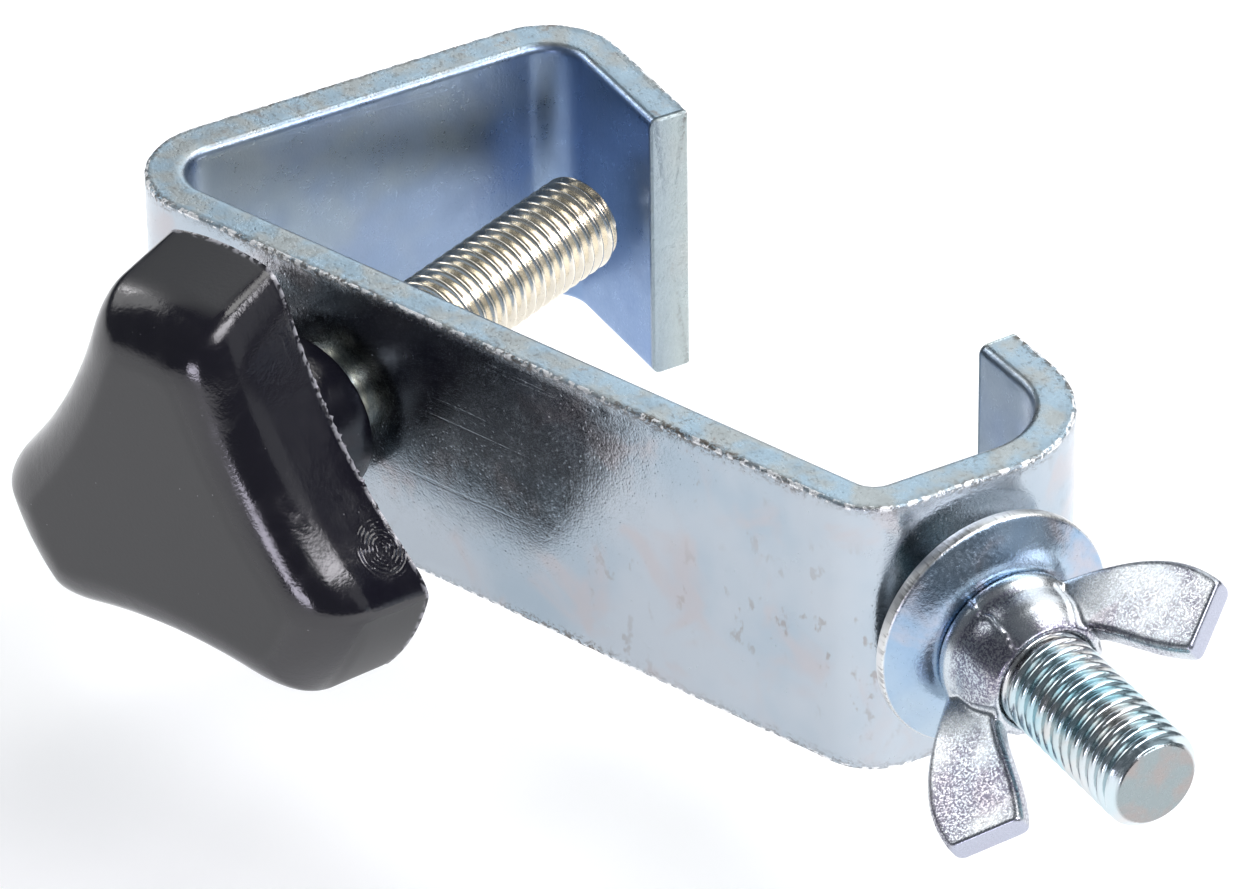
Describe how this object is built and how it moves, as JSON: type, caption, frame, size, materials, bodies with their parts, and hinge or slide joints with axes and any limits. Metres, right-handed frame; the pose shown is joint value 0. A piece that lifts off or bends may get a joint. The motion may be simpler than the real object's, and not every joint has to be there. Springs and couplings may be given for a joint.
{
  "type": "hook clamp for a stage light",
  "caption": "Bent steel hook clamp with a three-lobed knob on its clamp screw, and a hexagon bolt, dished washer and wing nut that hold a light.",
  "frame": {"origin": "where the fixture bolt's axis meets the outer face of the bar, at the middle of the bar's width", "axes": "+X out along the fixture bolt towards its free end, which is down in use; +Y along the bar there, from the leg to the tail; +Z across the width of the bar, along the gripped pipe"},
  "size_m": [0.1213, 0.0815, 0.0419],
  "materials": {
    "zinc_bar": "bright zinc plate, satin, with a faint blue cast",
    "clamp_screw_steel": "bright warm grey plate",
    "black_plastic": "moulded black plastic, satin faces and glossy rounded edges",
    "zinc_bolt": "bright zinc plate",
    "zinc_washer": "bright zinc plate with a blue cast",
    "zinc_casting": "bright zinc plate on a grained casting"
  },
  "bodies": {
    "bar": {"hook_strap": "zinc_bar", "fixture_bolt": "zinc_bolt"},
    "clamp_screw": {"clamp_screw": "clamp_screw_steel"},
    "knob": {"knob": "black_plastic"},
    "washer": {"dished_washer": "zinc_washer"},
    "wing_nut": {"wing_nut": "zinc_casting"}
  },
  "joints": [
    {"name": "clamp_travel", "type": "slide", "parent": "bar", "child": "clamp_screw", "axis": [-0.3665, 0.9304, 0], "range_m": [-0.0341, 0.0012]},
    {"name": "knob_turn", "type": "hinge", "parent": "clamp_screw", "child": "knob", "pos_m": [-0.06183, -0.03615, 0], "axis": [-0.3665, 0.9304, 0], "range_deg": [-8160, 270]},
    {"name": "nut_travel", "type": "slide", "parent": "bar", "child": "washer", "axis": [1, 0, 0], "range_m": [-0.0018, 0.0162]},
    {"name": "wing_nut_turn", "type": "hinge", "parent": "washer", "child": "wing_nut", "pos_m": [0, 0, 0], "axis": [1, 0, 0], "range_deg": [-430, 3880]}
  ],
  "couplings": [
    {"joint": "clamp_travel", "follows": "knob_turn", "m_per_rad": 0.00023873},
    {"joint": "nut_travel", "follows": "wing_nut_turn", "m_per_rad": 0.00023873}
  ]
}
